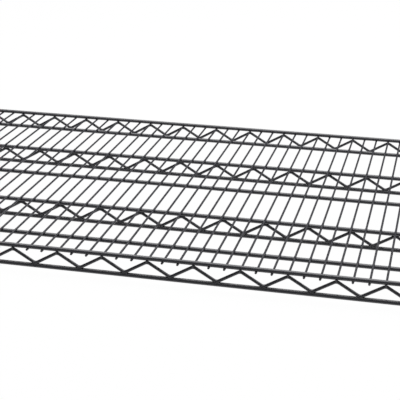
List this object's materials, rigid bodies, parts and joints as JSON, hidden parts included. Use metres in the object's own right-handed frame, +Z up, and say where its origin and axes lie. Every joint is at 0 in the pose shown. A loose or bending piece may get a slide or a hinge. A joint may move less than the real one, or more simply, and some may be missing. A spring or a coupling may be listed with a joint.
{
  "type": "wire rack shelf",
  "caption": "Rectangular welded wire shelf with laced edge and inner trusses under a deck of thin parallel wires, and a tapered post collar at each corner.",
  "frame": {"origin": "centre of the footprint, at the foot of the corner collars", "axes": "+X along the length, to the right; +Y from front to rear; +Z up"},
  "size_m": [0.9144, 0.6096, 0.038],
  "materials": {
    "wire_coating": "semi-gloss black powder coat",
    "collar_coating": "semi-gloss black powder coat"
  },
  "bodies": {
    "root": {"deck_wire_01": "wire_coating", "deck_wire_02": "wire_coating", "deck_wire_03": "wire_coating", "deck_wire_04": "wire_coating", "deck_wire_05": "wire_coating", "deck_wire_06": "wire_coating", "deck_wire_07": "wire_coating", "deck_wire_08": "wire_coating", "deck_wire_09": "wire_coating", "deck_wire_10": "wire_coating", "deck_wire_11": "wire_coating", "deck_wire_12": "wire_coating", "deck_wire_13": "wire_coating", "deck_wire_14": "wire_coating", "deck_wire_15": "wire_coating", "deck_wire_16": "wire_coating", "deck_wire_17": "wire_coating", "deck_wire_18": "wire_coating", "deck_wire_19": "wire_coating", "deck_wire_20": "wire_coating", "deck_wire_21": "wire_coating", "deck_wire_22": "wire_coating", "deck_wire_23": "wire_coating", "deck_wire_24": "wire_coating", "deck_wire_25": "wire_coating", "deck_wire_26": "wire_coating", "deck_wire_27": "wire_coating", "deck_wire_28": "wire_coating", "deck_wire_29": "wire_coating", "deck_wire_30": "wire_coating", "deck_wire_31": "wire_coating", "deck_wire_32": "wire_coating", "deck_wire_33": "wire_coating", "deck_wire_34": "wire_coating", "deck_wire_35": "wire_coating", "deck_wire_36": "wire_coating", "deck_wire_37": "wire_coating", "deck_wire_38": "wire_coating", "deck_wire_39": "wire_coating", "deck_wire_40": "wire_coating", "deck_wire_41": "wire_coating", "deck_wire_42": "wire_coating", "deck_wire_43": "wire_coating", "deck_wire_44": "wire_coating", "cross_rod_front": "wire_coating", "cross_rod_middle": "wire_coating", "cross_rod_rear": "wire_coating", "front_top_rail": "wire_coating", "rear_top_rail": "wire_coating", "front_laced_rail": "wire_coating", "rear_laced_rail": "wire_coating", "inner_truss_front": "wire_coating", "inner_truss_rear": "wire_coating", "left_truss": "wire_coating", "right_truss": "wire_coating", "collar_front_left": "collar_coating", "collar_rear_left": "collar_coating", "collar_front_right": "collar_coating", "collar_rear_right": "collar_coating"}
  },
  "joints": []
}
